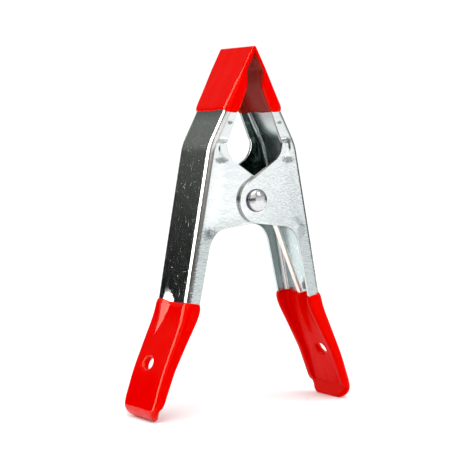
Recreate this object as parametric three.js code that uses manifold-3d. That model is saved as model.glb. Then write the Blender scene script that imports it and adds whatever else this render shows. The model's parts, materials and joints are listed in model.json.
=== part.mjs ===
// A hand spring clamp, standing like a letter A on its two handle ends with its jaws closed.
//
// Two identical stamped steel levers face each other, open sides inward. Each one is a channel: an
// outer web, two rounded bends and two flanges that widen into ears around the pivot. A rivet passes
// through the four ears, and a torsion spring is wound on it between them. Jaw tips and handles are
// dipped in soft vinyl. One ear of each lever is pressed outward and the other inward, so turning a
// lever half a turn about the vertical axis gives its partner.
//
// Millimetres. X runs across the clamp from the left lever to the right one, Y along the pivot, Z up.
// The origin is on the standing surface, midway between the two handle ends.

import * as THREE from 'three';
import { mergeVertices } from 'three/addons/utils/BufferGeometryUtils.js';
import Module from 'manifold-3d';

const wasm = await Module();
wasm.setup();

// ---- Driving dimensions

const STEEL = 1.0; // sheet thickness of the levers
const HALF_WIDTH = 8.1; // pivot axis direction, from the middle to the outer face of a flange
const BEND_RADIUS = 1.75; // outer radius between web and flange
const TIP_BEND_RADIUS = 0.5; // the same bend where it runs out towards the jaw tip
const SMALLEST_RADIUS = 0.15; // inside a bend
const TIP_STEEL = 0.3; // the sheet is pressed thin at the jaw tip
const PIVOT_HEIGHT = 58;

const JOGGLE = 0.65; // how far an ear is pressed out of the plane of its flange
const JOGGLE_RUN = 1.3; // distance over which it is pressed

const VINYL = 0.4; // wall of a dipped sleeve
const VINYL_GAP = 0.12; // clearance between vinyl and steel
const VINYL_SKIN = VINYL + VINYL_GAP;
const DIP_EDGE = 0.15; // wall left at the dip line, where the vinyl thins out
const DIP_RUN = 0.5; // distance over which it thins out
const JAW_LAND = 0.15; // half the gap between the two closed jaws

const JAW_DIP_HEIGHT = 82.5;
const HANDLE_DIP_HEIGHT = 31.2;
const STEEL_TIP_HEIGHT = 97.8; // where the steel ends inside the solid vinyl jaw tip

const FOOT_HALF_WIDTH = 5.2; // the handle end is narrower than the channel
const FOOT_NARROWING = 7.0; // length over which its corners are rounded

const HOLE_HEIGHT = 14.6; // hanging hole near each handle end
const HOLE_OFFSET = -0.8; // along the pivot axis, from the middle of the right lever
const HOLE_HALF_WIDTH = 2.5;
const HOLE_HALF_HEIGHT = 1.6;

const RIVET_RADIUS = 1.8;
const RIVET_HOLE_RADIUS = 1.95;
const RIVET_HEAD_RADIUS = 3.15;
const RIVET_HEAD_HEIGHT = 1.3;
const RIVET_HEAD_RIM = 0.35;
const RIVET_HEAD_GAP = 0.12;

const WIRE_RADIUS = 0.73;
const COIL_RADIUS = 4.15; // to the centre of the wire
const COIL_HALF_LENGTH = 4.9; // to the centre of the first and last turn
const COIL_WHOLE_TURNS = 5;
const LEG_START_ANGLE = 30; // degrees above the horizontal, where a leg leaves the coil
const LEG_KNEE = new THREE.Vector3(9.3, -4.3, 50.6);
const LEG_END = new THREE.Vector3(19.95, -0.5, 31.9);

// Side view of the right lever. Each corner is rounded to its own radius.
const WEB_CORNERS = [
  { x: 0.03, z: 99.92, r: 0 }, // jaw tip
  { x: 14.14, z: 73.4, r: 14 }, // the jaw leans in from here
  { x: 22.93, z: 27.1, r: 30 }, // the handle flares out
  { x: 29.5, z: 12.0, r: 60 },
  { x: 33.3, z: 0.52, r: 2.7 }, // the foot curls under
  { x: 29.0, z: 0.52, r: 0 },
];
const EDGE_CORNERS = [
  { x: -0.32, z: 99.73, r: 0 }, // jaw tip, where there is no flange yet
  { x: 2.84, z: 93.8, r: 0.8 }, // the flange starts
  { x: 3.0, z: 88.4, r: 1.5 },
  { x: 10.0, z: 71.1, r: 5.6 }, // round throat between the jaws
  { x: -17.2, z: 53.7, r: 6.3 }, // pivot ear
  { x: 13.8, z: 50.0, r: 6.5 }, // hollow from the ear into the handle
  { x: 18.75, z: 27.6, r: 15 },
  { x: 26.5, z: 13.75, r: 20 },
  { x: 30.7, z: 2.9, r: 1 },
  { x: 29.0, z: 1.87, r: 0 },
];

// Rows run from the web to the free edge of a flange, like the ribs of a fan. Each entry gives the
// height of a row on the web and on the free edge, and how many rows lead up to it.
const ROW_STATIONS = [
  { web: 99.92, edge: 99.73, rows: 0 },
  { web: 94.5, edge: 94.3, rows: 3 },
  { web: 93.2, edge: 92.6, rows: 2 },
  { web: 89.4, edge: 88.4, rows: 3 },
  { web: JAW_DIP_HEIGHT, edge: JAW_DIP_HEIGHT - 0.6, rows: 3 },
  { web: 76.2, edge: 75.0, rows: 3 },
  { web: 74.6, edge: 73.8, rows: 2 },
  { web: 51.6, edge: 49.9, rows: 18 },
  { web: 49.4, edge: 47.6, rows: 3 },
  { web: 44.0, edge: 43.3, rows: 2 },
  { web: HANDLE_DIP_HEIGHT, edge: HANDLE_DIP_HEIGHT - 0.8, rows: 3 },
  { web: 22.0, edge: 20.6, rows: 4 },
  { web: 12.0, edge: 11.4, rows: 3 },
  { web: 6.2, edge: 5.6, rows: 2 },
  { web: 0.52, edge: 1.87, rows: 6 },
];
const UPPER_JOGGLE = { above: 76.2, below: 74.6 };
const LOWER_JOGGLE = { above: 51.6, below: 49.4 };
const TIP_RUN_OUT = { above: 95.0, below: 89.5 };

// ---- Curves of the side view

function filletCurve(before, corner, after) {
  const point = new THREE.Vector2(corner.x, corner.z);
  const back = new THREE.Vector2(before.x, before.z).sub(point).normalize();
  const ahead = new THREE.Vector2(after.x, after.z).sub(point).normalize();
  const half = Math.acos(THREE.MathUtils.clamp(back.dot(ahead), -1, 1)) / 2;
  const reach = corner.r / Math.tan(half);
  const entry = point.clone().addScaledVector(back, reach);
  const exit = point.clone().addScaledVector(ahead, reach);
  const bisector = back.clone().add(ahead).normalize();
  const centre = point.clone().addScaledVector(bisector, corner.r / Math.sin(half));
  const start = Math.atan2(entry.y - centre.y, entry.x - centre.x);
  const end = Math.atan2(exit.y - centre.y, exit.x - centre.x);
  const clockwise = back.x * ahead.y - back.y * ahead.x > 0;
  const arc = new THREE.EllipseCurve(
    centre.x, centre.y, corner.r, corner.r, start, end, clockwise);
  return { entry, exit, arc };
}

class SideCurve {
  constructor(corners) {
    this.path = new THREE.CurvePath();
    let from = new THREE.Vector2(corners[0].x, corners[0].z);
    for (let i = 1; i < corners.length - 1; i += 1) {
      const { entry, exit, arc } = filletCurve(corners[i - 1], corners[i], corners[i + 1]);
      this.path.add(new THREE.LineCurve(from, entry));
      this.path.add(arc);
      from = exit;
    }
    const last = corners[corners.length - 1];
    this.path.add(new THREE.LineCurve(from, new THREE.Vector2(last.x, last.z)));
    this.length = this.path.getLength();
  }

  at(distance) {
    return this.path.getPoint(THREE.MathUtils.clamp(distance / this.length, 0, 1));
  }

  // Unit normal that points to the open side of the channel.
  inward(distance) {
    const step = 0.02;
    const tangent = this.at(distance + step).sub(this.at(distance - step)).normalize();
    return new THREE.Vector2(tangent.y, -tangent.x);
  }

  // Both curves only ever go down, so a height names one place on them.
  distanceAtHeight(height) {
    let low = 0;
    let high = this.length;
    for (let i = 0; i < 40; i += 1) {
      const middle = (low + high) / 2;
      if (this.at(middle).y > height + 1e-6) {
        low = middle;
      } else {
        high = middle;
      }
    }
    return high;
  }
}

const web = new SideCurve(WEB_CORNERS);
const edge = new SideCurve(EDGE_CORNERS);

// ---- Rows of the channel

function smoothStep(value, from, to) {
  const share = THREE.MathUtils.clamp((value - from) / (to - from), 0, 1);
  return share * share * (3 - 2 * share);
}

function makeRow(webDistance, edgeDistance) {
  const root = web.at(webDistance);
  const inward = web.inward(webDistance);
  const tip = edge.at(edgeDistance);
  const depth = root.distanceTo(tip);
  const height = root.y;
  const full = smoothStep(-height, -TIP_RUN_OUT.above, -TIP_RUN_OUT.below);
  const bend = THREE.MathUtils.lerp(TIP_BEND_RADIUS, BEND_RADIUS, full);
  const pressed = smoothStep(-height, -UPPER_JOGGLE.above, -UPPER_JOGGLE.below)
    * smoothStep(height, LOWER_JOGGLE.below, LOWER_JOGGLE.above);
  const fromEnd = THREE.MathUtils.clamp(
    1 - (web.length - webDistance) / FOOT_NARROWING, 0, 1);
  const narrowing = 1 - Math.sqrt(1 - fromEnd * fromEnd);
  return {
    webDistance,
    root,
    inward,
    tip,
    depth,
    steel: THREE.MathUtils.lerp(TIP_STEEL, STEEL, full),
    bend: Math.min(bend, depth * 0.95),
    joggle: JOGGLE * pressed,
    halfWidth: THREE.MathUtils.lerp(HALF_WIDTH, FOOT_HALF_WIDTH, narrowing),
  };
}

function makeRows() {
  const rows = [];
  ROW_STATIONS.forEach((station, index) => {
    const webEnd = web.distanceAtHeight(station.web);
    const edgeEnd = edge.distanceAtHeight(station.edge);
    if (index === 0) {
      rows.push(makeRow(webEnd, edgeEnd));
      return;
    }
    const previous = ROW_STATIONS[index - 1];
    const webStart = web.distanceAtHeight(previous.web);
    const edgeStart = edge.distanceAtHeight(previous.edge);
    for (let i = 1; i <= station.rows; i += 1) {
      const share = i / station.rows;
      rows.push(makeRow(
        THREE.MathUtils.lerp(webStart, webEnd, share),
        THREE.MathUtils.lerp(edgeStart, edgeEnd, share)));
    }
  });
  // The last stretch of the foot is flat, up to the end of both curves.
  rows.push(makeRow(web.length, edge.length));
  return rows;
}

// A place in the side view, at a depth below the outer face of the web. It leaves the web at a right
// angle and arrives at the free edge of the flange.
function sidePoint(row, depth) {
  if (depth <= 0) {
    return row.root.clone().addScaledVector(row.inward, depth);
  }
  const elbow = row.root.clone().addScaledVector(row.inward, row.depth / 2);
  const curve = new THREE.QuadraticBezierCurve(row.root, elbow, row.tip);
  const share = depth / row.depth;
  if (share <= 1) {
    return curve.getPoint(share);
  }
  const beyond = curve.getTangent(1);
  return row.tip.clone().addScaledVector(beyond, depth - row.depth);
}

const BEND_STEPS = 3;

// One face of a half section, from the web to the free edge: pairs of depth and distance from the
// middle. The inset is measured from the outer face of the steel, into the sheet.
function halfFace(row, inset, joggle, end) {
  const face = [];
  const room = end - inset;
  const radius = Math.min(Math.max(row.bend - inset, SMALLEST_RADIUS), room / 2);
  const centreDepth = inset + radius;
  const centreOut = row.halfWidth - inset - radius;
  for (let i = 0; i <= BEND_STEPS; i += 1) {
    const angle = (Math.PI / 2) * (i / BEND_STEPS);
    face.push([centreDepth - radius * Math.cos(angle), centreOut + radius * Math.sin(angle)]);
  }
  const flat = end - centreDepth;
  face.push([centreDepth + Math.min(JOGGLE_RUN, flat / 2), row.halfWidth - inset + joggle]);
  face.push([end, row.halfWidth - inset + joggle]);
  return face;
}

// A closed ring around the sheet, grown by a skin on every side. A skin rounds the free edge.
function ringAround(row, skin) {
  const innerInset = row.steel + skin;
  const end = row.depth + skin;
  const rounding = Math.min(skin * 0.6, (end - innerInset) / 2);
  const sides = [
    { sign: -1, joggle: row.joggle },
    { sign: 1, joggle: -row.joggle },
  ];
  const faces = sides.map(({ sign, joggle }) => {
    const outer = halfFace(row, -skin, joggle, end - rounding);
    const inner = halfFace(row, innerInset, joggle, end - rounding);
    if (skin > 0) {
      outer.push([end, outer[outer.length - 1][1] - rounding]);
      inner.push([end, inner[inner.length - 1][1] + rounding]);
    }
    const place = ([depth, out]) => {
      const side = sidePoint(row, depth);
      return new THREE.Vector3(side.x, sign * out, side.y);
    };
    return { outer: outer.map(place), inner: inner.map(place) };
  });
  const [near, far] = faces;
  return [...near.outer.reverse(), ...far.outer, ...far.inner.reverse(), ...near.inner];
}

// ---- Meshes from rings, and booleans

function solidFromRings(rings) {
  const count = rings[0].length;
  const positions = rings.flatMap((ring) => ring.flatMap((point) => point.toArray()));
  const index = [];
  const quad = (a, b, c, d) => index.push(a, b, c, a, c, d);
  for (let r = 0; r < rings.length - 1; r += 1) {
    for (let i = 0; i < count; i += 1) {
      const next = (i + 1) % count;
      const base = r * count;
      quad(base + i, base + next, base + count + next, base + count + i);
    }
  }
  const last = (rings.length - 1) * count;
  for (let i = 0; i < count / 2 - 1; i += 1) {
    const across = count - 1 - i;
    quad(i, across, across - 1, i + 1);
    quad(last + i, last + i + 1, last + across - 1, last + across);
  }
  const geometry = new THREE.BufferGeometry();
  geometry.setAttribute('position', new THREE.Float32BufferAttribute(positions, 3));
  geometry.setIndex(index);
  return signedVolume(geometry) < 0 ? turnedInsideOut(geometry) : geometry;
}

function signedVolume(geometry) {
  const { position } = geometry.attributes;
  const order = geometry.index.array;
  const a = new THREE.Vector3();
  const b = new THREE.Vector3();
  const c = new THREE.Vector3();
  let volume = 0;
  for (let i = 0; i < order.length; i += 3) {
    a.fromBufferAttribute(position, order[i]);
    b.fromBufferAttribute(position, order[i + 1]);
    c.fromBufferAttribute(position, order[i + 2]);
    volume += a.dot(b.cross(c)) / 6;
  }
  return volume;
}

function turnedInsideOut(geometry) {
  const order = geometry.index.array;
  for (let i = 0; i < order.length; i += 3) {
    [order[i + 1], order[i + 2]] = [order[i + 2], order[i + 1]];
  }
  return geometry;
}

function toSolid(geometry) {
  const bare = geometry.clone();
  bare.deleteAttribute('normal');
  bare.deleteAttribute('uv');
  const merged = mergeVertices(bare, 1e-5);
  return new wasm.Manifold(new wasm.Mesh({
    numProp: 3,
    vertProperties: new Float32Array(merged.attributes.position.array),
    triVerts: new Uint32Array(merged.index.array),
  }));
}

function toGeometry(solid) {
  const result = solid.getMesh();
  const geometry = new THREE.BufferGeometry();
  geometry.setAttribute('position', new THREE.BufferAttribute(result.vertProperties, 3));
  geometry.setIndex(new THREE.BufferAttribute(result.triVerts, 1));
  return geometry;
}

// ---- Tools for the holes

const ROUND_SEGMENTS = 24;

function pivotDrill() {
  const drill = new THREE.CylinderGeometry(
    RIVET_HOLE_RADIUS, RIVET_HOLE_RADIUS, 6 * HALF_WIDTH, ROUND_SEGMENTS);
  return toSolid(drill.translate(0, 0, PIVOT_HEIGHT));
}

// An oval cylinder square to the web at the hanging hole, this much larger than the hole.
function hangingHoleTool(extra, length) {
  const distance = web.distanceAtHeight(HOLE_HEIGHT);
  const inward = web.inward(distance);
  const middle = web.at(distance).addScaledVector(inward, STEEL / 2);
  const tool = new THREE.CylinderGeometry(1, 1, length, ROUND_SEGMENTS);
  tool.scale(HOLE_HALF_HEIGHT + extra, 1, HOLE_HALF_WIDTH + extra);
  const across = new THREE.Vector3(0, 1, 0);
  const along = new THREE.Vector3(inward.x, 0, inward.y);
  const rise = new THREE.Vector3().crossVectors(along, across);
  const frame = new THREE.Matrix4().makeBasis(rise, along, across);
  frame.setPosition(middle.x, HOLE_OFFSET, middle.y);
  return toSolid(tool.applyMatrix4(frame));
}

// ---- Pieces

const rows = makeRows();

function rowsBetween(from, to) {
  return rows.filter((row) => row.webDistance >= from - 1e-3 && row.webDistance <= to + 1e-3);
}

function makeLever() {
  const tip = web.distanceAtHeight(STEEL_TIP_HEIGHT);
  const end = web.length - VINYL_SKIN;
  const used = rowsBetween(tip + 0.3, end - 0.3);
  const first = rowAt(tip);
  const last = rowAt(end);
  const rings = [first, ...used, last].map((row) => ringAround(row, 0));
  const solid = toSolid(solidFromRings(rings))
    .subtract(pivotDrill())
    .subtract(hangingHoleTool(VINYL_SKIN, 6));
  return toGeometry(solid);
}

// The row at any distance along the web, with its place on the free edge found between stations.
function rowAt(webDistance) {
  const heights = ROW_STATIONS.map((station) => ({
    web: web.distanceAtHeight(station.web),
    edge: edge.distanceAtHeight(station.edge),
  }));
  heights.push({ web: web.length, edge: edge.length });
  const index = heights.findIndex((station) => station.web >= webDistance);
  const to = heights[Math.max(index, 1)];
  const from = heights[Math.max(index, 1) - 1];
  const share = (webDistance - from.web) / (to.web - from.web);
  return makeRow(webDistance, THREE.MathUtils.lerp(from.edge, to.edge, share));
}

// A dipped sleeve between the dip line and the end of the lever: the outer skin, closed over the
// end, and the pocket that holds the steel.
function makeSleeve(dip, steelEnd, end) {
  const towards = Math.sign(end - dip);
  const covered = rowsBetween(Math.min(dip, end), Math.max(dip, end));
  const inner = covered.filter((row) => {
    const left = towards * (steelEnd - row.webDistance);
    return left > 0.3 && towards * (row.webDistance - dip) > DIP_RUN * 1.5;
  });
  const outer = covered.filter((row) => towards * (row.webDistance - dip) > DIP_RUN * 1.5);
  const byDistance = (a, b) => towards * (a.webDistance - b.webDistance);
  inner.sort(byDistance);
  outer.sort(byDistance);
  const pocketEnd = rowAt(steelEnd + towards * VINYL_GAP);
  const dipRow = rowAt(dip);
  const fullRow = rowAt(dip + towards * DIP_RUN);
  const rings = [
    ...[...inner, pocketEnd].reverse().map((row) => ringAround(row, VINYL_GAP)),
    ringAround(fullRow, VINYL_GAP),
    ringAround(dipRow, VINYL_GAP),
    ringAround(dipRow, VINYL_GAP + DIP_EDGE),
    ringAround(fullRow, VINYL_SKIN),
    ...outer.map((row) => ringAround(row, VINYL_SKIN)),
  ];
  return toSolid(solidFromRings(rings));
}

function makeJawSleeve() {
  const sleeve = makeSleeve(
    web.distanceAtHeight(JAW_DIP_HEIGHT), web.distanceAtHeight(STEEL_TIP_HEIGHT), 0);
  const reach = 40;
  const partner = new THREE.BoxGeometry(reach, reach, reach);
  partner.translate(JAW_LAND - reach / 2, 0, 90);
  return toGeometry(sleeve.subtract(toSolid(partner)));
}

function makeHandleSleeve() {
  const sleeve = makeSleeve(
    web.distanceAtHeight(HANDLE_DIP_HEIGHT), web.length - VINYL_SKIN, web.length);
  const lining = hangingHoleTool(VINYL, STEEL + VINYL_SKIN);
  return toGeometry(sleeve.add(lining).subtract(hangingHoleTool(0, 8)));
}

function makeRivet() {
  const face = HALF_WIDTH + JOGGLE + RIVET_HEAD_GAP;
  const head = (sign) => {
    const profile = [];
    const steps = 5;
    for (let i = 0; i <= steps; i += 1) {
      const angle = (Math.PI / 2) * (i / steps);
      const rise = (RIVET_HEAD_HEIGHT - RIVET_HEAD_RIM) * Math.cos(angle);
      const out = i === 0 ? 0 : RIVET_HEAD_RADIUS * Math.sin(angle);
      profile.push(new THREE.Vector2(out, sign * (face + RIVET_HEAD_RIM + rise)));
    }
    profile.push(new THREE.Vector2(RIVET_HEAD_RADIUS - 0.1, sign * face));
    profile.push(new THREE.Vector2(RIVET_RADIUS, sign * face));
    return profile;
  };
  const outline = [...head(-1), ...head(1).reverse()];
  const lathe = new THREE.LatheGeometry(outline, ROUND_SEGMENTS);
  return toGeometry(toSolid(lathe));
}

function coilPoint(angle, y) {
  return new THREE.Vector3(
    COIL_RADIUS * Math.cos(angle), y, PIVOT_HEIGHT + COIL_RADIUS * Math.sin(angle));
}

function makeSpring() {
  const start = THREE.MathUtils.degToRad(LEG_START_ANGLE);
  const end = Math.PI - start + 2 * Math.PI * COIL_WHOLE_TURNS;
  const rightLeg = [LEG_END.clone(), LEG_KNEE.clone()];
  const leftLeg = rightLeg.map((point) => new THREE.Vector3(-point.x, -point.y, point.z));
  const coil = [];
  const steps = 12 * COIL_WHOLE_TURNS;
  for (let i = 0; i <= steps; i += 1) {
    const share = i / steps;
    const y = THREE.MathUtils.lerp(-COIL_HALF_LENGTH, COIL_HALF_LENGTH, share);
    coil.push(coilPoint(THREE.MathUtils.lerp(start, end, share), y));
  }
  const centreLine = new THREE.CatmullRomCurve3(
    [...rightLeg, ...coil, ...leftLeg.reverse()], false, 'centripetal');
  const section = new THREE.Shape();
  const sides = 8;
  for (let i = 0; i < sides; i += 1) {
    const angle = (2 * Math.PI * i) / sides;
    const point = [WIRE_RADIUS * Math.cos(angle), WIRE_RADIUS * Math.sin(angle)];
    if (i === 0) {
      section.moveTo(...point);
    } else {
      section.lineTo(...point);
    }
  }
  const wire = new THREE.ExtrudeGeometry(
    section, { steps: 110, extrudePath: centreLine, curveSegments: 1 });
  return toGeometry(toSolid(wire));
}

// ---- Assembly

const zincSteel = new THREE.MeshStandardMaterial({ color: 0xc9ced2, roughness: 0.32, metalness: 1 });
const rivetSteel = new THREE.MeshStandardMaterial({ color: 0xd6d8dc, roughness: 0.18, metalness: 1 });
const springSteel = new THREE.MeshStandardMaterial({ color: 0xd9d2c4, roughness: 0.3, metalness: 1 });
const redVinyl = new THREE.MeshStandardMaterial({ color: 0xe20d06, roughness: 0.22, metalness: 0 });

const leverGeometry = makeLever();
const jawSleeveGeometry = makeJawSleeve();
const handleSleeveGeometry = makeHandleSleeve();

function makeLeverSet(side) {
  const set = new THREE.Group();
  const pieces = [
    ['lever', leverGeometry, zincSteel],
    ['jaw_sleeve', jawSleeveGeometry, redVinyl],
    ['handle_sleeve', handleSleeveGeometry, redVinyl],
  ];
  for (const [name, geometry, material] of pieces) {
    const mesh = new THREE.Mesh(geometry, material);
    mesh.name = `${side}_${name}`;
    set.add(mesh);
  }
  return set;
}

const rightSet = makeLeverSet('right');
const leftSet = makeLeverSet('left');
leftSet.rotation.z = Math.PI;

const rivet = new THREE.Mesh(makeRivet(), rivetSteel);
rivet.name = 'pivot_rivet';
rivet.position.z = PIVOT_HEIGHT;

const spring = new THREE.Mesh(makeSpring(), springSteel);
spring.name = 'torsion_spring';

const group = new THREE.Group();
group.add(leftSet, rightSet, rivet, spring);

export default group;
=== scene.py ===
"""A hand spring clamp that stands like a letter A on its two handle ends, with its jaws closed.

Two identical stamped levers, zinc plated and dipped in red vinyl at both ends, turn on a domed rivet.
A torsion spring wound on the rivet keeps the jaws shut. The left lever is the right one turned half
a turn about the vertical axis.

Shapes are worked out in millimetres, in the frame's axes, and stored in metres.
"""

import json
import math

import bmesh
import bpy
import numpy as np
from mathutils import Matrix, Vector


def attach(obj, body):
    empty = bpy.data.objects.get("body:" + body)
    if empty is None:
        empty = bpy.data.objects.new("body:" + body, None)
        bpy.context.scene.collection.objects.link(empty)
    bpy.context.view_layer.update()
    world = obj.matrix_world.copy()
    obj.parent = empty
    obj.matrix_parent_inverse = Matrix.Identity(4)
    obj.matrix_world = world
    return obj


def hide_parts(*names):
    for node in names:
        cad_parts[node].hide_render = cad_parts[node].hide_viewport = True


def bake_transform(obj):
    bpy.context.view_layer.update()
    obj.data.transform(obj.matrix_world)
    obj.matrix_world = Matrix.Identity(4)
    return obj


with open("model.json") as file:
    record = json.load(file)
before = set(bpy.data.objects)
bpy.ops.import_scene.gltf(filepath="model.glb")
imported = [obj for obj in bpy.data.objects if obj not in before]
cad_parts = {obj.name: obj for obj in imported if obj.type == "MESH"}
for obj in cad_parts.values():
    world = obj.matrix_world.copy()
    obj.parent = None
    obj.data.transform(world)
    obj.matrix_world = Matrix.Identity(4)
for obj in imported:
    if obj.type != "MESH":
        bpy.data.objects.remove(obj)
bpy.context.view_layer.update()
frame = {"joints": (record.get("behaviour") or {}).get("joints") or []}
scene = bpy.context.scene

MM = 0.001
WELD = 0.002  # points closer than this become one
PIVOT_HEIGHT = frame["joints"][0]["pos_m"][2] / MM

# ---- Driving dimensions, mm

STEEL = 1.0
HALF_WIDTH = 8.1
BEND_RADIUS = 1.75
INNER_FILL = 0.9  # the drawn sheet is thicker inside its bends
VINYL_ROUND = 1.0  # the vinyl rounds the bends more than the sheet does
TIP_BEND_RADIUS = 0.5
TIP_STEEL = 0.3  # the sheet is pressed thin at the jaw tip
SMALLEST_RADIUS = 0.15
STEEL_EDGE = 0.14  # rounding of the sheared edge of the sheet

JOGGLE = 0.55  # the ears step sideways by this much, so that they lie over each other
JOGGLE_RUN = 5.0  # and each flange takes this far to make the step

VINYL = 0.52
TIP_VINYL = 0.36  # it runs thin at the jaw tip
VINYL_EDGE = 0.82  # rounding of the vinyl over the edge of the sheet
TIP_END = 0.5  # rounding of the jaw tip
FOOT_END = 0.42  # rounding of the handle end
FILL_EDGE = 0.06  # where vinyl fills the foot, it stops this far inside the free edges
DIP_EDGE = 0.12  # wall left at the dip line
DIP_RUN = 1.8  # the vinyl thins out over this distance at the dip line
DIP_FADE = 4.0  # the dip line's waves die out over this distance
# Waves of each dip line: size, length, phase.
HANDLE_DIP_WAVES = [(0.20, 13, 0.6), (0.07, 5, 2.0)]
JAW_DIP_WAVES = [(0.12, 15, 2.4), (0.08, 6, 0.5)]
BURIED = -0.3  # skin of the last ring of a dip, which closes it inside the sheet
JAW_LAND = 0.04  # each jaw is cut flat this far short of the middle

JAW_DIP_HEIGHT = 82.5
HANDLE_DIP_HEIGHT = 31.2
STEEL_TIP_HEIGHT = 97.8
STEEL_FOOT_GAP = 6.5  # the sheet ends this far short of the foot's lip, where vinyl fills the curl

FOOT_HALF_WIDTH = 5.2
FOOT_NARROWING = 7.0  # the channel narrows over this distance at the foot

HOLE_HEIGHT = 14.6
HOLE_OFFSET = -1.4  # along the pivot axis, from the middle of the right lever
HOLE_HALF_WIDTH = 2.0
HOLE_HALF_HEIGHT = 1.55
HOLE_RIM = 0.98  # depth of the rounded rim
HOLE_FLARE = 0.8  # width of the rounded rim, for each mm of its depth
HOLE_MARGIN = 1.9  # web that is remade round the hole
STEEL_HOLE_RIM = 0.1

RIVET_RADIUS = 1.8
RIVET_HOLE_RADIUS = 1.95
RIVET_HEAD_RADIUS = 3.15
RIVET_HEAD_HEIGHT = 1.7
RIVET_RIM_HEIGHT = 0.28
RIVET_RIM_INSET = 0.25
RIVET_SEAT_GAP = 0.05

WIRE_RADIUS = 0.73
COIL_RADIUS = 4.15
COIL_HALF_LENGTH = 4.9
COIL_WHOLE_TURNS = 5
POINTS_PER_TURN = 48
LEG_START_ANGLE = math.radians(30)
# Along the right leg: where it bends, where it meets the handle, and its tail under the vinyl.
LEG_KNEE = (9.3, -4.3, 50.6)
LEG_END = (19.95, -0.5, 31.9)
LEG_TAIL = (20.3, -0.45, 31.1)

# Side view of the right lever: x, z and rounding of each corner.
WEB_CORNERS = [
    (0.03, 99.92, 0), (14.14, 73.4, 14), (22.93, 27.1, 30),
    (29.5, 12.0, 60), (33.3, 0.52, 2.2), (30.2, 0.52, 0),
]
EDGE_CORNERS = [
    (-0.32, 99.73, 0), (2.84, 93.8, 0.8), (3.0, 88.4, 1.5), (10.0, 71.1, 5.6), (-17.2, 53.7, 6.3),
    (13.8, 50.0, 6.5), (18.75, 27.6, 15), (26.5, 13.75, 20), (30.75, 3.4, 0.7), (30.5, 1.6, 0),
]
# Heights on the web and on the free edge of a flange that face each other.
STATIONS = [
    (99.92, 99.73), (94.5, 94.3), (93.2, 92.6), (89.4, 88.4), (82.5, 81.9), (76.2, 75.0),
    (74.6, 73.8), (51.6, 49.9), (49.4, 47.6), (44.0, 43.3), (31.2, 30.4), (22.0, 20.6),
    (12.0, 11.4), (6.2, 5.6), (3.4, 3.6), (0.52, 2.1),
]
# Heights between which the joggle comes in and goes out, and the pressed tip reaches full section.
UPPER_JOGGLE = (76.2, 74.6)
LOWER_JOGGLE = (51.6, 49.4)
TIP_RUN_OUT = (95.0, 89.5)
FOOT_FILL = (4.6, 3.3)  # vinyl fills the inside of the curl from here down

# A shallow rib pressed outward in the web: steep on one side, a gentle slope on the other.
RIB_TOP, RIB_SHOULDER, RIB_FOOT = 34.6, 31.8, 20.5  # heights
RIB_CREST = -3.5  # place across the web
RIB_WIDTH = 4.9
RIB_SLOPE = 0.17  # how steep the gentle side is
RIB_STEEP_SIDE = (-0.9, 0.1)  # from the crest
RIB_TAPER = 0.6  # how bluntly the rib closes at its top
# The end of the spring's leg shows as a ridge under the vinyl: height, place across.
LEG_RIDGE = [(32.2, -0.5), (19.0, 1.3)]
LEG_RIDGE_HEIGHT = 1.6
LEG_RIDGE_WIDTH = 0.95

# Rings along a piece. They set how fine its mesh is.
LEVER_RINGS, HANDLE_RINGS, JAW_RINGS = 300, 120, 90
END_RINGS = 7  # round an end
DIP_RINGS = 8  # along the thinning at a dip line
RING_GAP = 0.15  # between the last even ring and a rounded end
DIP_GAP = 0.3  # between the last even ring and the thinning at a dip line


# ---- Side view curves

def unit(vector):
    return vector / np.linalg.norm(vector)


def rounded_outline(corners, step=0.1):
    """Points along straight lines whose corners are rounded to their own radius."""
    points = [np.array(corners[0][:2])]
    for before, corner, after in zip(corners, corners[1:], corners[2:]):
        middle, radius = np.array(corner[:2]), corner[2]
        back = unit(np.array(before[:2]) - middle)
        ahead = unit(np.array(after[:2]) - middle)
        half = math.acos(np.clip(back @ ahead, -1, 1)) / 2
        centre = middle + unit(back + ahead) * radius / math.sin(half)
        entry = middle + back * radius / math.tan(half) - centre
        turn = (math.pi - 2 * half) * np.sign(ahead[0] * back[1] - ahead[1] * back[0])
        count = max(4, math.ceil(radius * abs(turn) / step))
        for angle in np.linspace(0, turn, count + 1):
            c, s = math.cos(angle), math.sin(angle)
            points.append(centre + np.array([c * entry[0] - s * entry[1], s * entry[0] + c * entry[1]]))
    points.append(np.array(corners[-1][:2]))
    return np.array(points)


class SideCurve:
    """A line in the side view, with places on it named by their distance along it."""

    def __init__(self, corners):
        self.points = rounded_outline(corners)
        steps = np.linalg.norm(np.diff(self.points, axis=0), axis=1)
        self.distances = np.concatenate([[0], np.cumsum(steps)])
        self.length = self.distances[-1]

    def at(self, distance):
        return np.stack([np.interp(distance, self.distances, self.points[:, i]) for i in (0, 1)], -1)

    def inward(self, distance):
        """Unit normal that points to the open side of the channel."""
        step = 0.15  # half the length that the tangent is taken over
        ahead = self.at(np.clip(distance + step, 0, self.length))
        tangent = ahead - self.at(np.clip(distance - step, 0, self.length))
        tangent /= np.linalg.norm(tangent, axis=-1, keepdims=True)
        return np.stack([tangent[..., 1], -tangent[..., 0]], -1)

    def distance_at_height(self, height):
        """The last, flat stretch is left out, so that each height names one place."""
        return np.interp(-np.asarray(height), -self.points[:-1, 1], self.distances[:-1])


web = SideCurve(WEB_CORNERS)
edge = SideCurve(EDGE_CORNERS)
station_web = np.append(web.distance_at_height([s[0] for s in STATIONS]), web.length)
station_edge = np.append(edge.distance_at_height([s[1] for s in STATIONS]), edge.length)


def smooth_step(value, start, end):
    share = np.clip((value - start) / (end - start), 0, 1)
    return share * share * (3 - 2 * share)


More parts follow.
